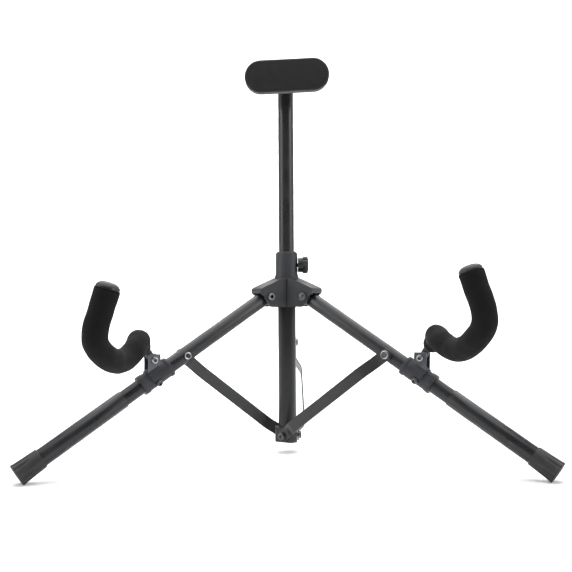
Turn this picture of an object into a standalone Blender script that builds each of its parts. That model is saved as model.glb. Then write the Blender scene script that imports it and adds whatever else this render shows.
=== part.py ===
# Folding tripod guitar stand with a sliding hub, two foam-covered cradle arms and a back pad.
# Units are metres, +Z is up, and the front of the stand, where the guitar goes, faces -Y.
# The origin is on the floor, at the middle of the footprint.
import bpy
import bmesh
import math
from mathutils import Matrix, Vector

MM = 0.001
GAP = 0.3 * MM
MERGE = 0.00001

# Legs: directions seen from above, slope in use, and sizes along the leg from its pivot bolt
LEG_AZIMUTH = {"left": 210.0, "right": 330.0, "rear": 90.0}
LEG_SLOPE = math.radians(31.73)
LEG_TOP = -3.6 * MM
LEG_LENGTH = 310.0 * MM
LEG_R = 8.0 * MM
LEG_WALL = 1.2 * MM
SLEEVE_START = 189.4 * MM
SLEEVE_R = 8.9 * MM
FOOT_START = 283.4 * MM
FOOT_R_TOP = 10.1 * MM
FOOT_R_END = 11.0 * MM
FOOT_FLAT = 0.8 * MM
FOOT_WALL_END = 4.5 * MM
STRUT_BOLT_AT = 112.4 * MM

# Column: the mast slides inside the hub and the column tube that hangs below the hub
COLUMN_Y = -28.25 * MM
MAST_R = 8.5 * MM
MAST_WALL = 1.0 * MM
MAST_BOTTOM = 28.8 * MM
MAST_TOP = 414.0 * MM
COLUMN_R = 9.8 * MM
COLUMN_WALL = 0.9 * MM

# Hub: its leg bolts set the height of everything that hangs on it
HUB_BOLT_OUT = 26.0 * MM
HUB_BOLT_Z = (LEG_LENGTH * math.sin(LEG_SLOPE)
              + FOOT_R_END * math.cos(LEG_SLOPE) - FOOT_FLAT)
HUB_BOTTOM = HUB_BOLT_Z - 11.3 * MM
HUB_SEAT = HUB_BOLT_Z + 3.0 * MM
HUB_SHOULDER = HUB_BOLT_Z + 21.6 * MM
COLLAR_TOP = HUB_BOLT_Z + 48.2 * MM
COLLAR_R = 12.15 * MM
CORE_R = 13.25 * MM
LOBE_HALF = 11.3 * MM
SLOT_HALF = 8.4 * MM
SLOT_BACK = 13.4 * MM
HOOD_TIP = 38.2 * MM
KNOB_Z = HUB_BOLT_Z + 34.5 * MM

# Bracket at the foot of the mast: three flats carry the strut pins
BRACKET_FLAT = 10.5 * MM
BRACKET_CORNER_R = 13.8 * MM
BRACKET_LOW = 12.0 * MM
BRACKET_HIGH = 28.5 * MM
SPIGOT_TOP = 45.0 * MM
STRUT_PIN_Z = 19.0 * MM

# Struts: flat bars beside the legs, cranked away from them between their ends
STRUT_WIDTH = 12.5 * MM
STRUT_THICK = 1.6 * MM
STRUT_LOW_OFFSET = 11.6 * MM
STRUT_MID_OFFSET_LOW = 19.0 * MM
STRUT_MID_OFFSET_HIGH = 15.5 * MM
STRUT_HIGH_OFFSET = 10.0 * MM
STRUT_LOW_CRANK = (7.5 * MM, 20.5 * MM)
STRUT_HIGH_CRANK = {"left": (36.0 * MM, 8.0 * MM), "right": (36.0 * MM, 8.0 * MM),
                    "rear": (54.0 * MM, 32.0 * MM)}

# Cradle arms: the clamp on the leg, the arm's pin, and the rod's centre line in millimetres from
# the pin as (outward, forward, up), outward being away from the other arm
CLAMP_START = 132.4 * MM
CLAMP_END = 168.4 * MM
CLAMP_R = 9.8 * MM
CLAMP_LIP_R = 10.5 * MM
CLAMP_SCREW_AT = 152.3 * MM
ARM_PIN_AT = 143.8 * MM
ARM_PIN_UP = 15.8 * MM
EAR_HALF = 6.0 * MM
EAR_THICK = 1.5 * MM
EAR_WIDTH = 13.0 * MM
SADDLE_AT = ARM_PIN_AT + 6.0 * MM
ROD_R = 4.0 * MM
FOAM_R = 11.0 * MM
FOAM_END_R = 6.8 * MM
FOAM_START = 10.4 * MM
FOAM_TAPER = 11.0 * MM
ARM_LINE = ((1.5, 0.6, 2.8), (5.1, 3.2, 9.3), (11.3, 15, 18), (6, 40.1, 21.5), (5.7, 63.7, 15.1),
            (11, 84.5, 8), (15.1, 106.1, 8.7), (18.5, 128, 15.5), (22.4, 143.3, 26.6),
            (20.8, 149.6, 40.1), (16.1, 148.1, 56.9), (10.9, 148.1, 73.6))
ARM_SWING = math.radians(30.0)
COLLAR_TURN = {"left": 0.0, "right": math.radians(-5.14)}
ARM_TILT = {"left": 0.0, "right": math.radians(2.62)}

# Back pad
PAD_Z = 409.6 * MM
PAD_SHIFT = 1.8 * MM
PAD_WIDTH = 91.5 * MM
PAD_HEIGHT = 35.2 * MM
PAD_THICK = 13.5 * MM
PAD_BACK_Y = -10.3 * MM
PAD_PLATE_THICK = 3.0 * MM
PAD_LEAN = math.radians(2.5)

ROUND_STEPS = 26
SMALL_STEPS = 14


def clear_scene():
    for item in list(bpy.data.objects):
        bpy.data.objects.remove(item, do_unlink=True)


clear_scene()
PARTS = bpy.data.collections.new("guitar_stand")
CUTTERS = bpy.data.collections.new("cutters")
bpy.context.scene.collection.children.link(PARTS)
bpy.context.scene.collection.children.link(CUTTERS)


def make_material(name, colour, roughness, metallic):
    material = bpy.data.materials.new(name)
    material.use_nodes = True
    shader = material.node_tree.nodes["Principled BSDF"]
    shader.inputs["Base Color"].default_value = (*colour, 1.0)
    shader.inputs["Roughness"].default_value = roughness
    shader.inputs["Metallic"].default_value = metallic
    material.diffuse_color = (*colour, 1.0)
    return material


BLACK_PAINT = ((0.030, 0.031, 0.034), 0.38, 0.0)
GREY_CASTING = ((0.055, 0.056, 0.062), 0.45, 0.0)
BLACK_PLASTIC = ((0.018, 0.018, 0.018), 0.50, 0.0)
RUBBER = ((0.030, 0.030, 0.032), 0.60, 0.0)
FOAM = ((0.012, 0.012, 0.012), 0.95, 0.0)
GREY_STEEL = ((0.30, 0.31, 0.34), 0.35, 0.8)
BRIGHT_STEEL = ((0.62, 0.62, 0.62), 0.25, 1.0)


def place(item, parent=None, location=(0, 0, 0), rotation=(0, 0, 0), cutter=False):
    (CUTTERS if cutter else PARTS).objects.link(item)
    item.parent = parent
    item.location = location
    item.rotation_euler = rotation
    if cutter:
        item.hide_render = True
        item.display_type = "WIRE"
    return item


def finish(item, name, look):
    item.data.materials.clear()
    item.data.materials.append(make_material(name + "_finish", *look))
    return item


def empty(name, parent=None, location=(0, 0, 0), rotation=(0, 0, 0)):
    item = bpy.data.objects.new(name, None)
    item.empty_display_size = 0.01
    return place(item, parent, location, rotation)


def mesh_object(name, bm, sharp=35.0):
    mesh = bpy.data.meshes.new(name)
    bmesh.ops.recalc_face_normals(bm, faces=bm.faces)
    bm.to_mesh(mesh)
    bm.free()
    mesh.shade_smooth()
    mesh.set_sharp_from_angle(angle=math.radians(sharp))
    return bpy.data.objects.new(name, mesh)


# A turned piece about its own Z: profile points are (radius, height), given from the top of the
# outer side down to its bottom, and on round the inner side where the piece is hollow
def turned(name, profile, steps=ROUND_STEPS, hollow=False):
    mesh = bpy.data.meshes.new(name)
    edges = [(i, i + 1) for i in range(len(profile) - 1)]
    if hollow:
        edges.append((len(profile) - 1, 0))
    mesh.from_pydata([(r, 0.0, z) for r, z in profile], edges, [])
    item = bpy.data.objects.new(name, mesh)
    screw = item.modifiers.new("Turn", "SCREW")
    screw.axis = "Z"
    screw.steps = steps
    screw.render_steps = steps
    screw.use_merge_vertices = True
    screw.merge_threshold = MERGE
    screw.use_smooth_shade = True
    return item


def solid_profile(points):
    return [(0.0, points[0][1])] + list(points) + [(0.0, points[-1][1])]


def rod_profile(radius, low, high, chamfer=0.0):
    if chamfer == 0.0:
        return solid_profile([(radius, high), (radius, low)])
    return solid_profile([(radius - chamfer, high), (radius, high - chamfer),
                          (radius, low + chamfer), (radius - chamfer, low)])


def tube_profile(outer, inner, low, high):
    return [(outer, high), (outer, low), (inner, low), (inner, high)]


def box(name, size, centre, bevel=0.0, segments=2):
    bm = bmesh.new()
    bmesh.ops.create_cube(bm, size=1.0)
    bmesh.ops.scale(bm, vec=Vector(size), verts=bm.verts)
    bmesh.ops.translate(bm, vec=Vector(centre), verts=bm.verts)
    item = mesh_object(name, bm)
    if bevel > 0.0:
        rounding = item.modifiers.new("Round edges", "BEVEL")
        rounding.width = bevel
        rounding.segments = segments
    return item


def cylinder(name, radius, length, matrix, steps=ROUND_STEPS):
    bm = bmesh.new()
    bmesh.ops.create_cone(bm, cap_ends=True, segments=steps, radius1=radius, radius2=radius,
                          depth=length, matrix=matrix)
    return mesh_object(name, bm)


def along_x(x=0.0, y=0.0, z=0.0):
    return Matrix.Translation((x, y, z)) @ Matrix.Rotation(math.pi / 2, 4, "Y")


def along_y(x=0.0, y=0.0, z=0.0):
    return Matrix.Translation((x, y, z)) @ Matrix.Rotation(math.pi / 2, 4, "X")


def along_z(x=0.0, y=0.0, z=0.0):
    return Matrix.Translation((x, y, z))


# A flat outline in the XZ plane, given thickness along Y about y = 0; a hole is (x, z, radius)
def plate(name, outline, thickness, hole=None):
    curve = bpy.data.curves.new(name + "_outline", "CURVE")
    curve.dimensions = "2D"
    curve.fill_mode = "BOTH"
    curve.extrude = thickness / 2
    spline = curve.splines.new("POLY")
    spline.points.add(len(outline) - 1)
    for point, (x, z) in zip(spline.points, outline):
        point.co = (x, z, 0.0, 1.0)
    spline.use_cyclic_u = True
    if hole is not None:
        rim = curve.splines.new("POLY")
        rim.points.add(SMALL_STEPS - 1)
        for i, point in enumerate(rim.points):
            angle = math.tau * (i + 0.5) / SMALL_STEPS
            point.co = (hole[0] + hole[2] * math.cos(angle), hole[1] + hole[2] * math.sin(angle), 0.0, 1.0)
        rim.use_cyclic_u = True
    return curve_to_mesh(name, curve, Matrix.Rotation(math.pi / 2, 4, "X"))


def curve_to_mesh(name, curve, matrix=None):
    guide = bpy.data.objects.new(name + "_curve", curve)
    CUTTERS.objects.link(guide)
    depsgraph = bpy.context.evaluated_depsgraph_get()
    depsgraph.update()
    mesh = bpy.data.meshes.new_from_object(guide.evaluated_get(depsgraph))
    bpy.data.objects.remove(guide, do_unlink=True)
    bpy.data.curves.remove(curve)
    bm = bmesh.new()
    bm.from_mesh(mesh)
    bpy.data.meshes.remove(mesh)
    bmesh.ops.remove_doubles(bm, verts=bm.verts, dist=MERGE)
    if matrix is not None:
        bm.transform(matrix)
    return mesh_object(name, bm)


def swept(name, points, radius, sides, widths=None):
    curve = bpy.data.curves.new(name + "_path", "CURVE")
    curve.dimensions = "3D"
    curve.bevel_depth = radius
    curve.bevel_resolution = sides // 4 - 1
    curve.use_fill_caps = True
    spline = curve.splines.new("POLY")
    spline.points.add(len(points) - 1)
    for i, place_at in enumerate(points):
        spline.points[i].co = (*place_at, 1.0)
        spline.points[i].radius = widths[i] if widths else 1.0
    return curve_to_mesh(name, curve)


def boolean(item, other, operation):
    step = item.modifiers.new(operation.title(), "BOOLEAN")
    step.operation = operation
    step.solver = "EXACT"
    step.object = other
    return item


def cut(item, cutter, parent=None, location=(0, 0, 0), rotation=(0, 0, 0)):
    place(cutter, parent, location, rotation, cutter=True)
    return boolean(item, cutter, "DIFFERENCE")


def join(item, other, parent=None, location=(0, 0, 0), rotation=(0, 0, 0)):
    place(other, parent, location, rotation, cutter=True)
    return boolean(item, other, "UNION")


def stadium(length, half, x_start=0.0, steps=10):
    points = []
    for i in range(steps + 1):
        angle = -math.pi / 2 + math.pi * i / steps
        points.append((x_start + length + half * math.cos(angle), half * math.sin(angle)))
    for i in range(steps + 1):
        angle = math.pi / 2 + math.pi * i / steps
        points.append((x_start + half * math.cos(angle), half * math.sin(angle)))
    return points


def smooth_step(value, start, end):
    t = min(max((value - start) / (end - start), 0.0), 1.0)
    return t * t * (3.0 - 2.0 * t)


Y_AXIS_TURN = (-math.pi / 2, 0, 0)
X_AXIS_TURN = (0, math.pi / 2, 0)

stand = empty("stand_origin", location=(0, COLUMN_Y, 0))
radial = {side: empty("direction_" + side, stand, rotation=(0, 0, math.radians(azimuth)))
          for side, azimuth in LEG_AZIMUTH.items()}


# Mast: a plain tube from the bracket to the pad, with a plastic plug in its top end
def make_mast():
    mast = turned("mast_tube", tube_profile(MAST_R, MAST_R - MAST_WALL, MAST_BOTTOM, MAST_TOP),
                  hollow=True)
    cut(mast, cylinder("mast_screw_hole", 2.3 * MM, 30 * MM, along_y(0, 0, PAD_Z - 2 * MM), 16), stand)
    finish(place(mast, stand), "mast_tube", BLACK_PAINT)
    plug_r = MAST_R - MAST_WALL - GAP
    plug = turned("mast_plug", solid_profile([
        (MAST_R - 1.5 * MM, MAST_TOP + 2.6 * MM), (MAST_R, MAST_TOP + 1.4 * MM),
        (MAST_R, MAST_TOP + GAP), (plug_r, MAST_TOP + GAP), (plug_r, MAST_TOP - 2.0 * MM)]))
    finish(place(plug, stand), "mast_plug", BLACK_PLASTIC)


# Bracket: a block with three flats and round corners, and a spigot up into the mast's foot
def bracket_outline():
    spread = math.acos(BRACKET_FLAT / BRACKET_CORNER_R)
    points = []
    for third in range(3):
        first = third * math.tau / 3 + spread
        last = (third + 1) * math.tau / 3 - spread
        for i in range(7):
            angle = first + (last - first) * i / 6
            points.append((BRACKET_CORNER_R * math.cos(angle), BRACKET_CORNER_R * math.sin(angle)))
    return points


def make_bracket():
    bm = bmesh.new()
    low = [bm.verts.new((x, y, BRACKET_LOW)) for x, y in bracket_outline()]
    base = bm.faces.new(low)
    risen = bmesh.ops.extrude_face_region(bm, geom=[base])
    top = [v for v in risen["geom"] if isinstance(v, bmesh.types.BMVert)]
    bmesh.ops.translate(bm, vec=(0, 0, BRACKET_HIGH - BRACKET_LOW), verts=top)
    bracket = mesh_object("foot_bracket", bm)
    spigot = turned("bracket_spigot", rod_profile(MAST_R - MAST_WALL - GAP, BRACKET_HIGH - 2 * MM,
                                                  SPIGOT_TOP, 0.8 * MM))
    join(bracket, spigot, stand)
    for side in LEG_AZIMUTH:
        cut(bracket, cylinder("bracket_hole_" + side, 2.3 * MM, 12 * MM,
                              along_y(0, -9.2 * MM, STRUT_PIN_Z), 16), radial[side])
    finish(place(bracket, stand), "foot_bracket", GREY_CASTING)
    outer = STRUT_LOW_OFFSET + STRUT_THICK / 2 + GAP
    for side in LEG_AZIMUTH:
        name = "strut_pin_" + side
        body = turned(name, [
            (0, outer + 1.2 * MM), (1.7 * MM, outer + 1.2 * MM), (1.7 * MM, outer + 2.6 * MM),
            (3.6 * MM, outer + 2.6 * MM), (4.2 * MM, outer + 1.9 * MM), (4.2 * MM, outer),
            (2.0 * MM, outer), (2.0 * MM, 3.6 * MM), (0, 3.6 * MM)], SMALL_STEPS)
        place(body, radial[side], (0, 0, STRUT_PIN_Z), (math.pi / 2, 0, 0))
        finish(body, name, BRIGHT_STEEL)


# Hub: a casting with a clamp collar above and three hooded slots for the legs
def roof(reach):
    return HUB_BOLT_Z + 26.7 * MM - math.tan(LEG_SLOPE) * reach


def lobe_outline():
    return [(6.2 * MM, HUB_BOTTOM), (24.0 * MM, HUB_BOTTOM), (27.0 * MM, HUB_BOTTOM + 0.9 * MM),
            (31.0 * MM, HUB_BOTTOM + 6.0 * MM), (34.0 * MM, HUB_BOLT_Z + 1.0 * MM),
            (HOOD_TIP - 1.6 * MM, HUB_BOLT_Z + 2.0 * MM), (HOOD_TIP - 0.3 * MM, HUB_BOLT_Z + 4.4 * MM),
            (HOOD_TIP, HUB_BOLT_Z + 6.8 * MM), (HOOD_TIP - 1.0 * MM, HUB_BOLT_Z + 8.9 * MM),
            (HOOD_TIP - 3.4 * MM, HUB_BOLT_Z + 10.2 * MM), (9.0 * MM, HUB_BOLT_Z + 20.8 * MM),
            (6.2 * MM, HUB_BOLT_Z + 20.8 * MM)]


def slot_outline():
    reach = 70.0 * MM
    low = HUB_BOLT_Z - 40.0 * MM
    return [(SLOT_BACK, low), (reach, low), (reach, roof(reach)), (SLOT_BACK, roof(SLOT_BACK))]


def make_hub():
    hub = turned("hub", solid_profile([
        (COLLAR_R - 0.9 * MM, COLLAR_TOP), (COLLAR_R, COLLAR_TOP - 0.9 * MM),
        (COLLAR_R, HUB_SHOULDER + 3.0 * MM), (CORE_R, HUB_SHOULDER),
        (CORE_R, HUB_BOTTOM - 0.4 * MM)]), 36)
    for side in LEG_AZIMUTH:
        lobe = plate("hub_lobe_" + side, lobe_outline(), 2 * LOBE_HALF, (HUB_BOLT_OUT, HUB_BOLT_Z, 2.8 * MM))
        join(hub, lobe, radial[side])
    for side in LEG_AZIMUTH:
        cut(hub, plate("hub_slot_" + side, slot_outline(), 2 * SLOT_HALF), radial[side])
    cut(hub, cylinder("clamp_hole", 2.8 * MM, 12 * MM, along_x(13 * MM, 0, KNOB_Z), 20), stand)
    bore = turned("hub_bore", solid_profile([
        (10.9 * MM, COLLAR_TOP + 20 * MM), (10.9 * MM, COLLAR_TOP - 7.7 * MM),
        (MAST_R + GAP, COLLAR_TOP - 7.7 * MM), (MAST_R + GAP, HUB_SEAT + GAP),
        (COLUMN_R + GAP, HUB_SEAT + GAP), (COLUMN_R + GAP, HUB_BOTTOM - 20 * MM)]), 36)
    cut(hub, bore, stand)
    finish(place(hub, stand), "hub", GREY_CASTING)

    column = turned("column_tube", tube_profile(COLUMN_R, COLUMN_R - COLUMN_WALL,
                                                MAST_BOTTOM, HUB_SEAT), hollow=True)
    finish(place(column, stand), "column_tube", BLACK_PAINT)

    bush = turned("guide_bush", [
        (10.0 * MM, COLLAR_TOP + 1.2 * MM), (10.6 * MM, COLLAR_TOP + 0.6 * MM),
        (10.6 * MM, COLLAR_TOP - 7.4 * MM),
        (MAST_R + GAP, COLLAR_TOP - 7.4 * MM), (MAST_R + GAP, COLLAR_TOP + 1.2 * MM)], hollow=True)
    finish(place(bush, stand), "guide_bush", BLACK_PLASTIC)

    for side in LEG_AZIMUTH:
        name = "leg_bolt_" + side
        head = LOBE_HALF + GAP
        bolt = turned(name, [
            (0, head + 0.9 * MM), (2.0 * MM, head + 0.9 * MM), (2.0 * MM, head + 2.4 * MM),
            (3.7 * MM, head + 2.4 * MM), (4.4 * MM, head + 1.4 * MM), (4.4 * MM, head),
            (2.5 * MM, head), (2.5 * MM, -head), (4.6 * MM, -head), (4.6 * MM, -head - 1.6 * MM),
            (3.0 * MM, -head - 3.2 * MM), (0, -head - 3.6 * MM)], SMALL_STEPS)
        place(bolt, radial[side], (HUB_BOLT_OUT, 0, HUB_BOLT_Z), Y_AXIS_TURN)
        finish(bolt, name, BRIGHT_STEEL)


# Knob: a fluted head on a neck, moulded on a clamp screw that presses on the mast
def make_knob():
    centre = empty("knob_axis", stand, (0, 0, KNOB_Z))
    screw = turned("knob_screw", rod_profile(2.5 * MM, MAST_R + GAP, 18.0 * MM, 0.3 * MM), SMALL_STEPS)
    finish(place(screw, centre, rotation=X_AXIS_TURN), "knob_screw", BRIGHT_STEEL)
    knob = turned("knob", solid_profile([
        (6.0 * MM, 24.2 * MM), (7.8 * MM, 23.2 * MM), (7.8 * MM, 17.4 * MM), (7.6 * MM, 16.0 * MM),
        (7.8 * MM, COLLAR_R + GAP)]), SMALL_STEPS)
    outline = []
    for i in range(40):
        reach = (9.5 if i % 4 < 2 else 8.7) * MM
        outline.append((reach * math.cos(math.tau * i / 40), reach * math.sin(math.tau * i / 40)))
    head = plate("knob_head", outline, 5.6 * MM)
    join(knob, head, centre, (20.6 * MM, 0, 0), (0, 0, math.pi / 2))
    cut(knob, cylinder("knob_socket", 2.5 * MM + GAP, 20 * MM, along_z(0, 0, 8.3 * MM), 20), centre,
        rotation=X_AXIS_TURN)
    finish(place(knob, centre, rotation=X_AXIS_TURN), "knob", BLACK_PLASTIC)


# Legs: a tube hung on the hub bolt, a wider sleeve over its lower part, and a rubber foot
def make_leg(side, pivot):
    tube = turned("leg_tube_" + side, tube_profile(LEG_R, LEG_R - LEG_WALL, LEG_TOP,
                                                   LEG_LENGTH - FOOT_WALL_END - GAP), hollow=True)
    cut(tube, cylinder("leg_pivot_hole_" + side, 2.8 * MM, 30 * MM, along_y(), 20), pivot)
    rivet_hole = cylinder("leg_rivet_hole_" + side, 2.5 * MM, 14 * MM, along_y(STRUT_BOLT_AT, 7 * MM), 16)
    cut(tube, rivet_hole, pivot)
    finish(place(tube, pivot, rotation=X_AXIS_TURN), "leg_tube_" + side, BLACK_PAINT)

    sleeve = turned("leg_sleeve_" + side, tube_profile(SLEEVE_R, LEG_R + 0.8 * GAP, SLEEVE_START,
                                                       LEG_LENGTH - FOOT_WALL_END - GAP), hollow=True)
    finish(place(sleeve, pivot, rotation=X_AXIS_TURN), "leg_sleeve_" + side, BLACK_PAINT)

    seat = SLEEVE_R + GAP
    floor_z = LEG_LENGTH - FOOT_WALL_END
    foot = turned("foot_" + side, [
        (0.0, LEG_LENGTH), (FOOT_R_END - 0.5 * MM, LEG_LENGTH), (FOOT_R_END, LEG_LENGTH - 0.7 * MM),
        (FOOT_R_END - 0.1 * MM, LEG_LENGTH - 4.0 * MM), (FOOT_R_TOP, FOOT_START + 3.0 * MM),
        (FOOT_R_TOP - 0.4 * MM, FOOT_START), (seat, FOOT_START), (seat, floor_z), (0.0, floor_z)], 28)
    floor = box("floor_cut_" + side, (80 * MM, 80 * MM, 20 * MM), (HUB_BOLT_OUT + 260 * MM, 0, -10 * MM))
    cut(foot, floor, radial[side])
    finish(place(foot, pivot, rotation=X_AXIS_TURN), "foot_" + side, RUBBER)

    top = LEG_R + GAP
    rivet = turned("leg_rivet_" + side, [
        (0, top + 0.2 * MM), (2.0 * MM, top + 0.2 * MM), (2.0 * MM, top + 1.4 * MM),
        (3.3 * MM, top + 1.4 * MM), (3.8 * MM, top + 0.8 * MM), (3.8 * MM, top), (2.2 * MM, top),
        (2.2 * MM, 3.0 * MM), (0, 3.0 * MM)], SMALL_STEPS)
    place(rivet, pivot, (STRUT_BOLT_AT, 0, 0), Y_AXIS_TURN)
    finish(rivet, "leg_rivet_" + side, BRIGHT_STEEL)


# Arm clamp: a collar round the leg, and on it a steel saddle with two ears for the arm's pin.
# The right collar sits a few degrees round its leg, as in the photo
def make_clamp(side, near, pivot, turn):
    collar = turned("clamp_collar_" + side, [
        (CLAMP_LIP_R - 0.5 * MM, CLAMP_END), (CLAMP_LIP_R, CLAMP_END - 0.5 * MM),
        (CLAMP_LIP_R, CLAMP_END - 6.0 * MM), (CLAMP_R, CLAMP_END - 7.0 * MM),
        (CLAMP_R, CLAMP_START + 4.0 * MM), (CLAMP_LIP_R, CLAMP_START + 3.4 * MM),
        (CLAMP_LIP_R, CLAMP_START + 0.5 * MM), (CLAMP_LIP_R - 0.5 * MM, CLAMP_START),
        (LEG_R + GAP, CLAMP_START), (LEG_R + GAP, CLAMP_END)], hollow=True)
    lean = math.radians(60.0) * near
    screw_at = (CLAMP_SCREW_AT, 0, 0)
    cut(collar, cylinder("clamp_screw_hole_" + side, 2.1 * MM, 8 * MM, along_z(0, 0, -11 * MM), 16),
        pivot, screw_at, (lean, 0, 0))
    finish(place(collar, pivot, rotation=X_AXIS_TURN), "clamp_collar_" + side, GREY_CASTING)
    screw = turned("clamp_screw_" + side, [
        (0, -LEG_R - GAP), (1.8 * MM, -LEG_R - GAP), (1.8 * MM, -CLAMP_LIP_R - GAP),
        (3.4 * MM, -CLAMP_LIP_R - GAP), (3.4 * MM, -CLAMP_LIP_R - 2.0 * MM),
        (2.8 * MM, -CLAMP_LIP_R - 2.6 * MM), (1.5 * MM, -CLAMP_LIP_R - 2.6 * MM),
        (1.5 * MM, -CLAMP_LIP_R - 1.4 * MM), (0, -CLAMP_LIP_R - 1.4 * MM)], SMALL_STEPS)
    finish(place(screw, pivot, screw_at, (lean, 0, 0)), "clamp_screw_" + side, BRIGHT_STEEL)

    saddle_r = CLAMP_R + GAP
    saddle = cylinder("clamp_ear_" + side, saddle_r + 1.0 * MM, EAR_WIDTH + 1.5 * MM, along_x(SADDLE_AT), 28)
    for label, offset in (("inner", EAR_HALF), ("outer", -EAR_HALF)):
        ear = box("ear_" + label + "_" + side, (EAR_WIDTH, EAR_THICK, 24 * MM), (0, offset, -6 * MM),
                  0.4 * MM)
        join(saddle, ear, turn)
    half = box("saddle_half_" + side, (60 * MM, 60 * MM, 30 * MM), (SADDLE_AT, 0, -17.0 * MM))
    cut(saddle, half, pivot)
    cut(saddle, cylinder("saddle_bore_" + side, saddle_r, 80 * MM, along_x(SADDLE_AT), 28), pivot)
    cut(saddle, cylinder("ear_hole_" + side, 2.1 * MM, 30 * MM, along_y(), 16), turn)
    finish(place(saddle, pivot), "clamp_ear_" + side, GREY_STEEL)

    face = EAR_HALF + EAR_THICK / 2 + GAP
    pin = turned("arm_pin_" + side, [
        (0, face + 0.7 * MM), (1.5 * MM, face + 0.7 * MM), (1.5 * MM, face + 1.9 * MM),
        (2.9 * MM, face + 1.9 * MM), (3.5 * MM, face + 1.2 * MM), (3.5 * MM, face), (1.8 * MM, face),
        (1.8 * MM, -face), (3.5 * MM, -face), (3.5 * MM, -face - 1.2 * MM), (2.6 * MM, -face - 2.0 * MM),
        (0, -face - 2.0 * MM)], SMALL_STEPS)
    spin = Y_AXIS_TURN if near > 0 else (math.pi / 2, 0, 0)
    finish(place(pin, turn, rotation=spin), "arm_pin_" + side, BRIGHT_STEEL)


# Arm: a rod bent along a smooth line through the points of ARM_LINE, mirrored on the right side
def smooth_line(points, steps=3):
    line = []
    for i in range(len(points) - 1):
        before = points[max(i - 1, 0)]
        after = points[min(i + 2, len(points) - 1)]
        a, b = points[i], points[i + 1]
        for k in range(steps):
            t = k / steps
            line.append(0.5 * ((2 * a) + (b - before) * t + (2 * before - 5 * a + 4 * b - after) * t ** 2
                               + (3 * a - before - 3 * b + after) * t ** 3))
    line.append(points[-1])
    return line


def running_length(points):
    lengths = [0.0]
    for a, b in zip(points, points[1:]):
        lengths.append(lengths[-1] + (b - a).length)
    return lengths


# The stretch of a line between two distances along it, as (point, distance) pairs
def stretch(path, lengths, start, end):
    inside = [(point, length) for point, length in zip(path, lengths) if start < length < end]
    ends = []
    for wanted in (start, end):
        i = max(k for k in range(len(path) - 1) if lengths[k] <= wanted)
        share = (wanted - lengths[i]) / (lengths[i + 1] - lengths[i])
        ends.append((path[i].lerp(path[i + 1], share), wanted))
    return [ends[0]] + inside + [ends[1]]


def make_arm(side, near, turn):
    frame = empty("arm_axis_" + side, turn, rotation=(0, -ARM_TILT[side], 0))
    across = Matrix.Rotation(-ARM_SWING * near, 3, "Z")
    path = smooth_line([across @ Vector((out, near * forward, up)) * MM for out, forward, up in ARM_LINE])
    lengths = running_length(path)
    total = lengths[-1]
    rod = swept("arm_rod_" + side, path, ROD_R, 12)
    join(rod, cylinder("arm_barrel_" + side, 3.6 * MM, 2 * (EAR_HALF - EAR_THICK / 2 - GAP), along_y(), 24),
         frame)
    flat_depth = 8.0 * MM
    flat_at = EAR_HALF - EAR_THICK / 2 - GAP + flat_depth / 2
    cut(rod, cylinder("arm_flat_" + side, 9.4 * MM, flat_depth, along_y(0, near * flat_at), 32), frame)
    cut(rod, cylinder("arm_pin_hole_" + side, 2.1 * MM, 30 * MM, along_y(), 16), frame)
    finish(place(rod, frame), "arm_rod_" + side, BLACK_PAINT)

    foam_path = []
    widths = []
    for point, length in stretch(path, lengths, FOAM_START, total - 1.6 * MM):
        share = smooth_step(length, FOAM_START - 5.0 * MM, FOAM_START + FOAM_TAPER)
        foam_path.append(point)
        widths.append((FOAM_END_R + (FOAM_R - FOAM_END_R) * share) / FOAM_R)
    foam = swept("arm_foam_" + side, foam_path, FOAM_R, 16, widths)
    tip_way = (path[-1] - path[-2]).normalized()
    bore_path = path + [path[-1] + tip_way * 6 * MM]
    cut(foam, swept("foam_bore_" + side, bore_path, ROD_R + GAP, 12), frame)
    finish(place(foam, frame), "arm_foam_" + side, FOAM)

    cap = turned("arm_cap_" + side, solid_profile([
        (4.2 * MM, 4.4 * MM), (7.8 * MM, 3.2 * MM), (9.8 * MM, 1.4 * MM), (10.5 * MM, -0.2 * MM),
        (10.5 * MM, -1.2 * MM)]), 24)
    spin = tip_way.to_track_quat("Z", "Y").to_euler()
    cut(cap, cylinder("cap_socket_" + side, ROD_R + GAP, 10 * MM, along_z(0, 0, -4.7 * MM), 20), frame,
        path[-1], spin)
    finish(place(cap, frame, path[-1], spin), "arm_cap_" + side, BLACK_PLASTIC)


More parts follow.
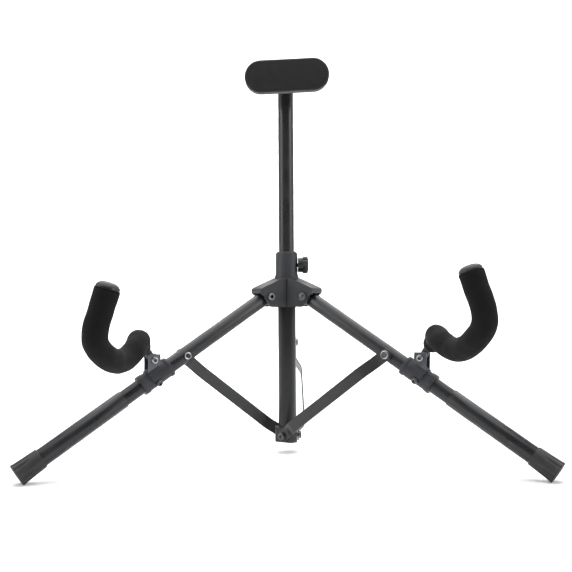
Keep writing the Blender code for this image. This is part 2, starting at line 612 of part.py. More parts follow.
# Strut: a flat bar with round ends, cranked outwards between them so that it clears the leg
def make_strut(side):
    low = Vector((0, 0, STRUT_PIN_Z))
    high = Vector((HUB_BOLT_OUT + STRUT_BOLT_AT * math.cos(LEG_SLOPE), 0,
                   HUB_BOLT_Z - STRUT_BOLT_AT * math.sin(LEG_SLOPE)))
    length = (high - low).length
    angle = math.atan2(high.z - low.z, high.x - low.x)
    frame = empty("strut_axis_" + side, radial[side], low, (0, -angle, 0))
    bar = plate("strut_" + side, stadium(length, STRUT_WIDTH / 2), STRUT_THICK)
    bm = bmesh.new()
    bm.from_mesh(bar.data)
    ease = [length - reach for reach in STRUT_HIGH_CRANK[side]]
    stations = [a + (b - a) * i / 6 for a, b in (STRUT_LOW_CRANK, ease) for i in range(7)]
    for x in stations:
        bmesh.ops.bisect_plane(bm, geom=bm.verts[:] + bm.edges[:] + bm.faces[:], dist=MERGE,
                               plane_co=(x, 0, 0), plane_no=(1, 0, 0))
    for vert in bm.verts:
        x = vert.co.x
        middle = STRUT_MID_OFFSET_LOW + (STRUT_MID_OFFSET_HIGH - STRUT_MID_OFFSET_LOW) * x / length
        offset = STRUT_LOW_OFFSET + (middle - STRUT_LOW_OFFSET) * smooth_step(x, *STRUT_LOW_CRANK)
        leave = smooth_step(x, *ease)
        vert.co.y -= offset + (STRUT_HIGH_OFFSET - offset) * leave
    bm.to_mesh(bar.data)
    bm.free()
    for x in (0.0, length):
        cut(bar, cylinder("strut_hole_" + side, 2.3 * MM, 60 * MM, along_y(x), 16), frame)
    finish(place(bar, frame), "strut_" + side, BLACK_PAINT)
    inner = -LEG_R - GAP
    outer = -STRUT_HIGH_OFFSET - STRUT_THICK / 2 - GAP
    rivet = turned("strut_rivet_" + side, solid_profile([
        (2.0 * MM, inner), (2.0 * MM, outer), (5.0 * MM, outer), (5.0 * MM, outer - 1.2 * MM),
        (3.6 * MM, outer - 2.4 * MM)]), SMALL_STEPS)
    finish(place(rivet, frame, (length, 0, 0), Y_AXIS_TURN), "strut_rivet_" + side, BRIGHT_STEEL)


# Pad: a saddle on the mast, a screw through both, a backing plate and the foam block on its front
def make_pad():
    axis = empty("pad_axis", stand, (0, 0, PAD_Z - 2 * MM))
    saddle_front = PAD_BACK_Y + GAP
    saddle = cylinder("pad_saddle", 7.0 * MM, 6.0 * MM, along_y(0, saddle_front + 3.0 * MM, 0))
    cut(saddle, cylinder("saddle_seat", MAST_R + GAP, 60 * MM, along_z()), axis)
    cut(saddle, cylinder("saddle_hole", 2.3 * MM, 40 * MM, along_y(), 16), axis)
    finish(place(saddle, axis), "pad_saddle", BLACK_PLASTIC)
    tip = PAD_BACK_Y - PAD_PLATE_THICK + 0.2 * MM
    back = MAST_R + GAP
    screw = turned("pad_screw", [
        (0, back + 0.8 * MM), (1.7 * MM, back + 0.8 * MM), (1.7 * MM, back + 2.2 * MM),
        (3.4 * MM, back + 2.2 * MM), (4.2 * MM, back + 1.4 * MM), (4.2 * MM, back), (2.0 * MM, back),
        (2.0 * MM, tip), (0, tip)], SMALL_STEPS)
    finish(place(screw, axis, rotation=Y_AXIS_TURN), "pad_screw", BRIGHT_STEEL)

    lean = empty("pad_lean", axis, rotation=(0, -PAD_LEAN, 0))
    half = PAD_HEIGHT / 2
    middle = PAD_WIDTH - PAD_HEIGHT
    plate_y = PAD_BACK_Y - PAD_PLATE_THICK / 2
    back_plate = plate("pad_plate", stadium(middle, half - 2.0 * MM, PAD_SHIFT - middle / 2),
                       PAD_PLATE_THICK)
    cut(back_plate, cylinder("pad_plate_hole", 2.3 * MM, 30 * MM, along_y(), 16), lean)
    finish(place(back_plate, lean, (0, plate_y, 2 * MM)), "pad_plate", BLACK_PLASTIC)
    foam = plate("pad_foam", stadium(middle, half, PAD_SHIFT - middle / 2), PAD_THICK)
    rounding = foam.modifiers.new("Soft front edge", "BEVEL")
    rounding.width = 3.0 * MM
    rounding.segments = 3
    rounding.limit_method = "ANGLE"
    foam_y = PAD_BACK_Y - PAD_PLATE_THICK - GAP - PAD_THICK / 2
    finish(place(foam, lean, (0, foam_y, 2 * MM)), "pad_foam", FOAM)


make_mast()
make_bracket()
make_hub()
make_knob()
for leg_side, leg_radial in radial.items():
    leg_pivot = empty("leg_axis_" + leg_side, leg_radial, (HUB_BOLT_OUT, 0, HUB_BOLT_Z),
                      (0, LEG_SLOPE, 0))
    make_leg(leg_side, leg_pivot)
    make_strut(leg_side)
    if leg_side != "rear":
        near_sign = 1.0 if leg_side == "left" else -1.0
        collar_turn = empty("collar_turn_" + leg_side, leg_pivot, rotation=(COLLAR_TURN[leg_side], 0, 0))
        arm_turn = empty("arm_turn_" + leg_side, collar_turn, (ARM_PIN_AT, 0, ARM_PIN_UP),
                         (0, -LEG_SLOPE, 0))
        make_clamp(leg_side, near_sign, collar_turn, arm_turn)
        make_arm(leg_side, near_sign, arm_turn)
make_pad()
bpy.context.view_layer.update()
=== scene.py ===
import bpy
import bmesh
import math
from mathutils import Matrix, Vector, noise


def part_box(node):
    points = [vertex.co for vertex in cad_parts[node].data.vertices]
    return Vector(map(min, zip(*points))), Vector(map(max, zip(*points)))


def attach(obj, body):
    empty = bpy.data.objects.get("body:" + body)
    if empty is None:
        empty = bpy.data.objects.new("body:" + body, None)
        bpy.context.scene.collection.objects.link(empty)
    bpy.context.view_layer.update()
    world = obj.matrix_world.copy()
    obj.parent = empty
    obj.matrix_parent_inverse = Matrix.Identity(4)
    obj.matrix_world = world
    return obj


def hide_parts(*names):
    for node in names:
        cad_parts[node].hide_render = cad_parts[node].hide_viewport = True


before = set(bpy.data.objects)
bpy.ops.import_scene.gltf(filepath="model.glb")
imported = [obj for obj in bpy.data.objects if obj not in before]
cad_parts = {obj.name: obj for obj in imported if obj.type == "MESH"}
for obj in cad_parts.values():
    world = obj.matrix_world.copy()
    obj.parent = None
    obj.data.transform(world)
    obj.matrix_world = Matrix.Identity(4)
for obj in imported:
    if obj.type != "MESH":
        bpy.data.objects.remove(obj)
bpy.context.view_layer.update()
MM = 0.001

# Studio: a seamless pale sweep with a light of its own, a broad soft light overhead, one at each side,
# and the camera where the photograph was taken from, level with the middle of the column.
COLUMN_Y = -28.25 * MM
CAMERA_AT = (3.6 * MM, COLUMN_Y - 893.0 * MM, 183.0 * MM)
CAMERA_YAW = math.radians(0.28)
CAMERA_ROLL = math.radians(-0.35)
CAMERA_LENS = 50.9
CAMERA_SENSOR = 36.0
SWEEP_FRONT = -3.0
SWEEP_BACK = 1.6
SWEEP_RADIUS = 1.2
SWEEP_HALF = 5.0
SWEEP_TOP = 4.0
SWEEP_STEPS = 24
PAPER_WHITE = 0.93
PAPER_ROUGHNESS = 0.9


def put(name, data):
    """A new object in the scene."""
    thing = bpy.data.objects.new(name, data)
    bpy.context.scene.collection.objects.link(thing)
    return thing


def make_sweep():
    profile = [(SWEEP_FRONT, 0.0)]
    for i in range(SWEEP_STEPS + 1):
        angle = math.pi / 2 * i / SWEEP_STEPS
        profile.append((SWEEP_BACK + SWEEP_RADIUS * math.sin(angle), SWEEP_RADIUS * (1 - math.cos(angle))))
    profile.append((SWEEP_BACK + SWEEP_RADIUS, SWEEP_TOP))
    mesh = bpy.data.meshes.new("studio_floor")
    verts = [(x, y, z) for y, z in profile for x in (-SWEEP_HALF, SWEEP_HALF)]
    faces = [(2 * i, 2 * i + 1, 2 * i + 3, 2 * i + 2) for i in range(len(profile) - 1)]
    mesh.from_pydata(verts, [], faces)
    mesh.shade_smooth()
    floor = put("studio_floor", mesh)
    paper = bpy.data.materials.new("sweep_paper")
    paper.use_nodes = True
    shader = paper.node_tree.nodes["Principled BSDF"]
    shader.inputs["Base Color"].default_value = (PAPER_WHITE, PAPER_WHITE, PAPER_WHITE, 1.0)
    shader.inputs["Roughness"].default_value = PAPER_ROUGHNESS
    mesh.materials.append(paper)


def soft_light(name, at, towards, size, power):
    light = bpy.data.lights.new(name, "AREA")
    light.shape = "RECTANGLE"
    light.size, light.size_y = size
    light.energy = power
    lamp = put(name, light)
    lamp.location = at
    lamp.rotation_euler = (Vector(towards) - Vector(at)).to_track_quat("-Z", "Y").to_euler()


def make_camera():
    camera = put("camera", bpy.data.cameras.new("camera"))
    camera.data.lens = CAMERA_LENS
    camera.data.sensor_width = CAMERA_SENSOR
    forward = Vector((-math.sin(CAMERA_YAW), math.cos(CAMERA_YAW), 0.0))
    right = Matrix.Rotation(-CAMERA_ROLL, 3, forward) @ Vector((forward.y, -forward.x, 0.0))
    up = right.cross(forward)
    turn = Matrix((right, up, -forward)).transposed()
    camera.matrix_world = Matrix.Translation(CAMERA_AT) @ turn.to_4x4()
    bpy.context.scene.camera = camera


make_sweep()
make_camera()
OVERHEAD_AT = (0.0, -0.2, 2.2)
OVERHEAD_SIZE = (2.6, 2.6)
OVERHEAD_POWER = 55.0
SIDE_AT = (1.9, -0.6, 0.9)
SIDE_SIZE = (1.2, 1.8)
SIDE_POWER = 24.0
BACKDROP_AT = (0.0, 0.9, 1.9)
BACKDROP_TARGET = (0.0, 2.6, 0.3)
BACKDROP_SIZE = (3.0, 1.0)
BACKDROP_POWER = 90.0
FEET_LEVEL = (0.0, 0.0, 0.1)
HUB_LEVEL = (0.0, 0.0, 0.2)
soft_light("overhead", OVERHEAD_AT, FEET_LEVEL, OVERHEAD_SIZE, OVERHEAD_POWER)
soft_light("left_side", (-SIDE_AT[0], *SIDE_AT[1:]), HUB_LEVEL, SIDE_SIZE, SIDE_POWER)
soft_light("right_side", SIDE_AT, HUB_LEVEL, SIDE_SIZE, SIDE_POWER)
soft_light("backdrop", BACKDROP_AT, BACKDROP_TARGET, BACKDROP_SIZE, BACKDROP_POWER)
WORLD_DIM = 0.33
WORLD_BRIGHT = 0.62
WORLD_DIM_UNTIL = -0.6
WORLD_BRIGHT_FROM = 0.5


def make_world():
    """A white room that is darker on the camera's side, so that tubes show a dark middle."""
    world = bpy.data.worlds.new("studio")
    world.use_nodes = True
    nodes, links = world.node_tree.nodes, world.node_tree.links
    way = nodes.new("ShaderNodeTexCoord")
    split = nodes.new("ShaderNodeSeparateXYZ")
    grade = nodes.new("ShaderNodeMapRange")
    grade.inputs["From Min"].default_value = WORLD_DIM_UNTIL
    grade.inputs["From Max"].default_value = WORLD_BRIGHT_FROM
    grade.inputs["To Min"].default_value = WORLD_DIM
    grade.inputs["To Max"].default_value = WORLD_BRIGHT
    links.new(way.outputs["Generated"], split.inputs[0])
    links.new(split.outputs["Y"], grade.inputs["Value"])
    links.new(grade.outputs["Result"], nodes["Background"].inputs["Strength"])
    nodes["Background"].inputs["Color"].default_value = (1.0, 1.0, 1.0, 1.0)
    bpy.context.scene.world = world


make_world()
bpy.context.scene.view_settings.view_transform = "Standard"


# Mast and column: drawn steel tubes, the mast sliding inside the column. Both are powder coated
# black, which leaves a fine orange peel and softly rounded cut ends.
MAST_R = 8.5 * MM
MAST_INNER = 7.5 * MM
MAST_LOW = 28.8 * MM
MAST_HIGH = 414.0 * MM
COLUMN_R = 9.8 * MM
COLUMN_INNER = 8.9 * MM
HUB_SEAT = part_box("column_tube")[1].z
TUBE_SIDES = 72
TUBE_EDGE = 0.25 * MM
SHARP_FROM = 32.0
TOO_SMALL = 1e-7
GRAIN_DETAIL = 3.0
MOTTLE_DETAIL = 4.0
MOTTLE_LOW = 0.3
MOTTLE_HIGH = 0.7
SMOOTHEST = 0.03


def finish_material(name, colour, roughness, metallic=0.0, shine=0.5, sheen=0.0, grain=2400.0,
                    depth=0.12, reach=0.00004, mottle=0.25, mottle_scale=45.0, spread=0.10):
    """Object-space finish: a fine grain in bump, and a slow mottle in colour and roughness."""
    material = bpy.data.materials.new(name)
    material.use_nodes = True
    nodes, links = material.node_tree.nodes, material.node_tree.links
    shader = nodes["Principled BSDF"]
    shader.inputs["Metallic"].default_value = metallic
    shader.inputs["Specular IOR Level"].default_value = shine
    shader.inputs["Sheen Weight"].default_value = sheen
    where = nodes.new("ShaderNodeTexCoord")

    fine = nodes.new("ShaderNodeTexNoise")
    fine.inputs["Scale"].default_value = grain
    fine.inputs["Detail"].default_value = GRAIN_DETAIL
    slow = nodes.new("ShaderNodeTexNoise")
    slow.inputs["Scale"].default_value = mottle_scale
    slow.inputs["Detail"].default_value = MOTTLE_DETAIL
    for texture in (fine, slow):
        links.new(where.outputs["Object"], texture.inputs["Vector"])

    tone = nodes.new("ShaderNodeValToRGB")
    darker, lighter = tone.color_ramp.elements
    darker.position, lighter.position = MOTTLE_LOW, MOTTLE_HIGH
    darker.color = (*[c * (1.0 - mottle) for c in colour], 1.0)
    lighter.color = (*[c * (1.0 + mottle) for c in colour], 1.0)
    links.new(slow.outputs["Fac"], tone.inputs["Fac"])
    links.new(tone.outputs["Color"], shader.inputs["Base Color"])

    gloss = nodes.new("ShaderNodeMapRange")
    gloss.inputs["From Min"].default_value = MOTTLE_LOW
    gloss.inputs["From Max"].default_value = MOTTLE_HIGH
    gloss.inputs["To Min"].default_value = max(roughness - spread, SMOOTHEST)
    gloss.inputs["To Max"].default_value = min(roughness + spread, 1.0)
    links.new(slow.outputs["Fac"], gloss.inputs["Value"])
    links.new(gloss.outputs["Result"], shader.inputs["Roughness"])

    bump = nodes.new("ShaderNodeBump")
    bump.inputs["Strength"].default_value = depth
    bump.inputs["Distance"].default_value = reach
    links.new(fine.outputs["Fac"], bump.inputs["Height"])
    links.new(bump.outputs["Normal"], shader.inputs["Normal"])
    return material


powder_coat = finish_material("powder_coat", (0.0100, 0.0104, 0.0120), 0.33, shine=0.38, depth=0.35)
column_coat = finish_material("column_coat", (0.0045, 0.0047, 0.0055), 0.40, shine=0.36, depth=0.35,
                              spread=0.05)


def mesh_from(name, bm, sharp=None):
    """What was drawn, as a mesh; with degrees given, smooth but for edges sharper than that."""
    mesh = bpy.data.meshes.new(name)
    bm.to_mesh(mesh)
    bm.free()
    if sharp:
        mesh.shade_smooth()
        mesh.set_sharp_from_angle(angle=math.radians(sharp))
    return mesh


def piece_from(name, bm, material, body, nodes, sharp=SHARP_FROM):
    bmesh.ops.recalc_face_normals(bm, faces=bm.faces)
    mesh = mesh_from(name, bm, sharp)
    mesh.materials.append(material)
    piece = put(name, mesh)
    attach(piece, body)
    if nodes:
        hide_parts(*nodes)
    return piece


def join_rings(bm, rings, closed=False):
    """Faces from each ring of points to the next; a ring of one point is a pole."""
    pairs = list(zip(rings, rings[1:]))
    if closed:
        pairs.append((rings[-1], rings[0]))
    for a, b in pairs:
        sides = max(len(a), len(b))
        for i in range(sides):
            j = (i + 1) % sides
            corners = [a[i % len(a)], a[j % len(a)], b[j % len(b)], b[i % len(b)]]
            unique = list(dict.fromkeys(corners))
            if len(unique) > 2:
                bm.faces.new(unique)


def turn_profile(bm, profile, place, sides=TUBE_SIDES, closed=False, swell=None):
    """Turns (radius, height) points about local Z; a point on the axis becomes a pole."""
    rings = []
    for radius, height in profile:
        if radius < TOO_SMALL:
            rings.append([bm.verts.new(place @ Vector((0.0, 0.0, height)))])
            continue
        ring = []
        for i in range(sides):
            angle = math.tau * i / sides
            reach = radius + (swell(angle, height, radius) if swell else 0.0)
            at = Vector((reach * math.cos(angle), reach * math.sin(angle), height))
            ring.append(bm.verts.new(place @ at))
        rings.append(ring)
    join_rings(bm, rings, closed)


def tube_ends(outer, inner, low, high, round_by=TUBE_EDGE):
    """A tube's outline with its outer edges rounded by three points each."""
    ease_by = 0.3 * round_by
    return [(outer - round_by, high), (outer - ease_by, high - ease_by), (outer, high - round_by),
            (outer, low + round_by), (outer - ease_by, low + ease_by), (outer - round_by, low),
            (inner, low), (inner, high)]


def in_mm(outline, lift=0.0):
    """Points drawn in millimetres, as (radius, height), with heights counted from the lift."""
    return [(radius * MM, lift + height * MM) for radius, height in outline]


STAND = Matrix.Translation((0.0, COLUMN_Y, 0.0))

bm = bmesh.new()
turn_profile(bm, tube_ends(MAST_R, MAST_INNER, MAST_LOW, MAST_HIGH), STAND, closed=True)
piece_from("mast", bm, powder_coat, "mast_body", ["mast_tube"])

bm = bmesh.new()
turn_profile(bm, tube_ends(COLUMN_R, COLUMN_INNER, MAST_LOW, HUB_SEAT), STAND, closed=True)
piece_from("column", bm, column_coat, "hub_body", ["column_tube"])


# Small black mouldings: the plug in the mast's top, and the guide bush whose lip shows above the
# collar. Both are injection moulded, matt, with edges broken by the mould.
moulded_black = finish_material("moulded_black", (0.013, 0.013, 0.014), 0.55, grain=1500.0, depth=0.25)
PLUG = [(0, 2.6), (6.0, 2.6), (7.4, 2.2), (8.2, 1.5), (8.5, 0.9), (8.5, 0.3), (7.2, 0.3), (7.2, -2.0),
        (0, -2.0)]
bm = bmesh.new()
turn_profile(bm, in_mm(PLUG, MAST_HIGH), STAND)
piece_from("mast_end_plug", bm, moulded_black, "mast_body", ["mast_plug"])

BUSH_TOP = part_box("guide_bush")[1].z
BUSH = [(9.9, 0), (10.35, -0.2), (10.6, -0.6), (10.6, -8.6), (8.8, -8.6), (8.8, -0.3), (9.1, 0)]
bm = bmesh.new()
turn_profile(bm, in_mm(BUSH, BUSH_TOP), STAND, closed=True)
piece_from("mast_guide_bush", bm, moulded_black, "hub_body", ["guide_bush"])


# Castings: the hub with its clamp collar and three hooded slots, and the bracket at the mast's foot.
# They are glass-filled nylon, dark grey with a satin grain, and every edge has a small radius.
cast_grey = finish_material("cast_grey", (0.0260, 0.0268, 0.0305), 0.48, shine=0.25, grain=1300.0,
                            depth=0.45, reach=0.00006, mottle=0.18)
MERGE_WITHIN = 0.02 * MM
FLAT_ENOUGH = math.radians(1.0)
CASTING_SHARP = 34.0
EDGE_SEGMENTS = 2


def with_groove(mesh, size, at):
    """The mesh with a narrow box cut out of its surface."""
    bm = bmesh.new()
    bmesh.ops.create_cube(bm, size=1.0)
    bmesh.ops.scale(bm, vec=Vector(size), verts=bm.verts)
    bmesh.ops.translate(bm, vec=Vector(at), verts=bm.verts)
    blade = put("groove_blade", mesh_from("groove_blade", bm))
    solid = put("groove_solid", mesh)
    milling = solid.modifiers.new("groove", "BOOLEAN")
    milling.operation = "DIFFERENCE"
    milling.solver = "EXACT"
    milling.object = blade
    graph = bpy.context.evaluated_depsgraph_get()
    graph.update()
    grooved = bpy.data.meshes.new_from_object(solid.evaluated_get(graph))
    bpy.data.objects.remove(solid)
    bpy.data.objects.remove(blade)
    return grooved


def rounded_copy(name, node, material, body, width, groove=None):
    """A CAD solid taken over as it is, with its edges rounded and perhaps one groove."""
    bm = bmesh.new()
    bm.from_mesh(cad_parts[node].data)
    bmesh.ops.remove_doubles(bm, verts=bm.verts, dist=MERGE_WITHIN)
    source = mesh_from(name + "_source", bm)
    if groove:
        source = with_groove(source, *groove)
    bm = bmesh.new()
    bm.from_mesh(source)
    bmesh.ops.dissolve_limit(bm, angle_limit=FLAT_ENOUGH, verts=bm.verts, edges=bm.edges)
    mesh = mesh_from(name, bm, CASTING_SHARP)
    mesh.materials.append(material)
    piece = put(name, mesh)
    rounding = piece.modifiers.new("rounded_edges", "BEVEL")
    rounding.width = width
    rounding.segments = EDGE_SEGMENTS
    rounding.limit_method = "ANGLE"
    rounding.angle_limit = math.radians(CASTING_SHARP)
    rounding.harden_normals = True
    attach(piece, body)
    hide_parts(node)
    return piece


SEAM_SIZE = (1.0 * MM, 2.4 * MM, 29.0 * MM)
SEAM_AT = (0.0, COLUMN_Y - 12.6 * MM, 176.0 * MM)
HUB_EDGE = 0.45 * MM
BRACKET_EDGE = 0.4 * MM
rounded_copy("hub_casting", "hub", cast_grey, "hub_body", HUB_EDGE, groove=(SEAM_SIZE, SEAM_AT))
rounded_copy("mast_foot_bracket", "foot_bracket", cast_grey, "mast_body", BRACKET_EDGE)


# Bolts and pins that stand in a ring round the column: three leg bolts in the hub and three strut
# pins in the bracket. They are plated steel with a hexagon socket in a button head.
LEG_COUNT = 3
LEG_SLOPE = math.radians(31.73)
LEG_LENGTH = 310.0 * MM
FOOT_R = 11.0 * MM
FOOT_SUNK = 0.8 * MM
HUB_BOLT_OUT = 26.0 * MM
HUB_BOLT_Z = LEG_LENGTH * math.sin(LEG_SLOPE) + FOOT_R * math.cos(LEG_SLOPE) - FOOT_SUNK
STRUT_PIN_Z = 19.0 * MM
FASTENER_SIDES = 48
HEXAGON_STEP = math.tau / 6


def plated_finish(name, colour, roughness, metallic=1.0, depth=0.06, mottle=0.10):
    """Plating over steel, smooth and faintly clouded."""
    return finish_material(name, colour, roughness, metallic=metallic, grain=900.0, depth=depth,
                           mottle=mottle, mottle_scale=160.0, spread=0.07)


# The brightest plate is the knob screw's own plating, and also paints the highlight rings on the rivet
# heads.
rivet_highlight_and_screw_plate = plated_finish("rivet_highlight_and_screw_plate", (0.46, 0.46, 0.47), 0.20)
# The middle plate is the arm pins' own plating, and also paints the highlight ring on each leg bolt's head.
pin_plate_and_bolt_highlight = plated_finish("pin_plate_and_bolt_highlight", (0.29, 0.29, 0.295), 0.26)
dark_plate = plated_finish("dark_plate", (0.085, 0.087, 0.092), 0.34, metallic=0.8, depth=0.10, mottle=0.15)


def fastener_mesh(name, outline, socket, closed=False):
    """Turned outline along local +Z; its points at the socket's radius are drawn out to a hexagon."""
    def hexagon(angle, height, radius):
        if abs(radius - socket) > TOO_SMALL:
            return 0.0
        return socket / math.cos(angle % HEXAGON_STEP - HEXAGON_STEP / 2) - socket

    bm = bmesh.new()
    turn_profile(bm, outline, Matrix.Identity(4), FASTENER_SIDES, closed, hexagon)
    bmesh.ops.recalc_face_normals(bm, faces=bm.faces)
    return put(name, mesh_from(name, bm, SHARP_FROM))


RING_INPUTS = {"Geometry": "Geometry", "Fastener": "Object", "Count": "Int", "Ring radius": "Float",
               "Height": "Float", "Start angle": "Float", "Plating": "Material"}


def fastener_ring_tree():
    """Copies of one fastener, evenly round a vertical axis and lying level along the ring."""
    tree = bpy.data.node_groups.new("fastener_ring", "GeometryNodeTree")
    for name, kind in RING_INPUTS.items():
        tree.interface.new_socket(name, in_out="INPUT", socket_type="NodeSocket" + kind)
    tree.interface.new_socket("Geometry", in_out="OUTPUT", socket_type="NodeSocketGeometry")
    nodes, links = tree.nodes, tree.links

    def reckon(operation):
        node = nodes.new("ShaderNodeMath")
        node.operation = operation
        return node

    start = nodes.new("NodeGroupInput")
    end = nodes.new("NodeGroupOutput")
    points = nodes.new("GeometryNodePoints")
    links.new(start.outputs["Count"], points.inputs["Count"])
    index = nodes.new("GeometryNodeInputIndex")
    step = reckon("DIVIDE")
    step.inputs[0].default_value = math.tau
    links.new(start.outputs["Count"], step.inputs[1])
    angle = reckon("MULTIPLY_ADD")
    links.new(index.outputs[0], angle.inputs[0])
    links.new(step.outputs[0], angle.inputs[1])
    links.new(start.outputs["Start angle"], angle.inputs[2])
    at = nodes.new("ShaderNodeCombineXYZ")
    for operation, socket in (("COSINE", "X"), ("SINE", "Y")):
        turn, reach = reckon(operation), reckon("MULTIPLY")
        links.new(angle.outputs[0], turn.inputs[0])
        links.new(turn.outputs[0], reach.inputs[0])
        links.new(start.outputs["Ring radius"], reach.inputs[1])
        links.new(reach.outputs[0], at.inputs[socket])
    links.new(start.outputs["Height"], at.inputs["Z"])
    links.new(at.outputs[0], points.inputs["Position"])
    heading = nodes.new("ShaderNodeCombineXYZ")
    heading.inputs["X"].default_value = -math.pi / 2
    links.new(angle.outputs[0], heading.inputs["Z"])
    source = nodes.new("GeometryNodeObjectInfo")
    links.new(start.outputs["Fastener"], source.inputs["Object"])
    copies = nodes.new("GeometryNodeInstanceOnPoints")
    links.new(points.outputs[0], copies.inputs["Points"])
    links.new(source.outputs["Geometry"], copies.inputs["Instance"])
    links.new(heading.outputs[0], copies.inputs["Rotation"])
    real = nodes.new("GeometryNodeRealizeInstances")
    links.new(copies.outputs[0], real.inputs[0])
    coat = nodes.new("GeometryNodeSetMaterial")
    links.new(real.outputs[0], coat.inputs["Geometry"])
    links.new(start.outputs["Plating"], coat.inputs["Material"])
    links.new(coat.outputs[0], end.inputs[0])
    return tree


RING_TREE = fastener_ring_tree()


def ring_of_fasteners(name, fastener, count, radius, height, angle, place, body, nodes, plating):
    """Makes one piece of a whole ring: the tree's copies as plain mesh, laid where they belong."""
    holder = put(name + "_maker", bpy.data.meshes.new(name + "_maker"))
    maker = holder.modifiers.new("ring", "NODES")
    maker.node_group = RING_TREE
    values = {"Fastener": fastener, "Count": count, "Ring radius": radius, "Height": height,
              "Start angle": angle, "Plating": plating}
    for item in RING_TREE.interface.items_tree:
        if item.in_out == "INPUT" and item.name in values:
            maker[item.identifier] = values[item.name]
    graph = bpy.context.evaluated_depsgraph_get()
    graph.update()
    mesh = bpy.data.meshes.new_from_object(holder.evaluated_get(graph))
    mesh.transform(place)
    mesh.name = name
    bpy.data.objects.remove(holder)
    bpy.data.objects.remove(fastener)
    piece = put(name, mesh)
    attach(piece, body)
    if nodes:
        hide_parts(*nodes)


HEAD_DOME = [(0.72, 1.0), (0.88, 0.86), (0.97, 0.6), (1.0, 0.3), (1.0, 0.0)]


def button_head(base, radius, height, socket, deep=0.65):
    """Outline from the socket's floor out over a domed button head, down to its seat."""
    floor = base + (1.0 - deep) * height
    return ([(0, floor), (socket, floor), (socket, base + height)]
            + [(out * radius, base + up * height) for out, up in HEAD_DOME])


HUB_HEAD = 11.6 * MM
BOLT_KEY = 1.9 * MM
BOLT_SHANK = 2.5 * MM
BOLT_END = [(4.6, 0.0), (4.6, -1.4), (4.2, -2.3), (3.2, -3.2), (1.8, -3.6), (0, -3.7)]
# The last outline is a thin ring of lighter plate on the head's crest: a painted highlight.
BOLT_HIGHLIGHT_RING = [(2.5, 2.0), (2.5, 2.35), (2.7, 2.6), (2.95, 2.6), (3.15, 2.35), (3.15, 2.0)]
BOLTS_FROM = math.radians(90.0)
leg_bolt = fastener_mesh("leg_bolt", button_head(
    HUB_HEAD, radius=4.4 * MM, height=2.2 * MM, socket=BOLT_KEY, deep=2.4)
    + [(BOLT_SHANK, HUB_HEAD), (BOLT_SHANK, -HUB_HEAD)] + in_mm(BOLT_END, -HUB_HEAD), BOLT_KEY)
ring_of_fasteners("leg_bolts", leg_bolt, LEG_COUNT, HUB_BOLT_OUT, HUB_BOLT_Z, BOLTS_FROM, STAND,
                  "hub_body", ["leg_bolt_left", "leg_bolt_right", "leg_bolt_rear"], dark_plate)
# A thin ring of lighter plate on each leg bolt's head stands in for the shine on its crest: a painted
# highlight.
bolt_rim = fastener_mesh("bolt_rim", in_mm(BOLT_HIGHLIGHT_RING, HUB_HEAD), 0.0, closed=True)
ring_of_fasteners("leg_bolt_rims", bolt_rim, LEG_COUNT, HUB_BOLT_OUT, HUB_BOLT_Z, BOLTS_FROM, STAND,
                  "hub_body", [], pin_plate_and_bolt_highlight)

PIN_HEAD = 12.7 * MM
PIN_KEY = 1.7 * MM
PIN_SHANK = 2.0 * MM
PIN_TIP = 3.6 * MM
strut_pin = fastener_mesh("strut_pin", button_head(
    PIN_HEAD, radius=4.2 * MM, height=2.6 * MM, socket=PIN_KEY)
    + [(PIN_SHANK, PIN_HEAD), (PIN_SHANK, PIN_TIP), (0, PIN_TIP)], PIN_KEY)
ring_of_fasteners("strut_pins", strut_pin, LEG_COUNT, 0.0, STRUT_PIN_Z, -BOLTS_FROM, STAND,
                  "mast_body", ["strut_pin_left", "strut_pin_right", "strut_pin_rear"], dark_plate)


# Clamp knob: a fluted head moulded on a steel screw, on the right of the collar. It is black nylon of
# low gloss, and the flutes are pressed in only where the head is widest.
KNOB_Z = HUB_BOLT_Z + 34.5 * MM
KNOB_AXIS = STAND @ Matrix.Translation((0, 0, KNOB_Z)) @ Matrix.Rotation(math.pi / 2, 4, "Y")
KNOB_FLUTES = 10
KNOB_FLUTED_FROM = 8.5 * MM
KNOB_SIDES = 120
FLUTE_DEPTH = 0.9 * MM
KNOB = [(0, 24.2), (5.6, 24.2), (7.0, 23.9), (8.1, 23.5), (9.1, 23.0), (9.5, 22.4), (9.5, 18.8),
        (9.1, 18.1), (8.4, 17.6), (8.1, 16.0), (8.1, 14.0), (8.2, 12.46), (2.8, 12.46), (2.8, 18.3),
        (0, 18.3)]
knob_black = finish_material("knob_black", (0.0105, 0.0110, 0.0115), 0.36, shine=0.35, grain=1100.0,
                             depth=0.2)


def flute(angle, count, narrow):
    """Depth of evenly spaced channels round a turned piece; a higher power makes them narrower."""
    return -FLUTE_DEPTH * (0.5 - 0.5 * math.cos(count * angle)) ** narrow


def knob_flutes(angle, height, radius):
    return flute(angle, KNOB_FLUTES, 2) if radius >= KNOB_FLUTED_FROM else 0.0


bm = bmesh.new()
turn_profile(bm, in_mm(KNOB), KNOB_AXIS, KNOB_SIDES, swell=knob_flutes)
piece_from("clamp_knob", bm, knob_black, "knob_body", ["knob"])

THREAD_TURNS = 9
THREAD_PITCH = 0.95
THREAD_SIDES = 32
thread = [(0, 18.0), (2.2, 18.0)]
for i in range(THREAD_TURNS):
    crest = 17.6 - i * THREAD_PITCH
    thread += [(2.5, crest), (2.15, crest - 0.45)]
thread += [(2.1, 8.9), (0, 8.8)]
bm = bmesh.new()
turn_profile(bm, in_mm(thread), KNOB_AXIS, THREAD_SIDES)
piece_from("clamp_knob_screw", bm, rivet_highlight_and_screw_plate, "knob_body", ["knob_screw"])


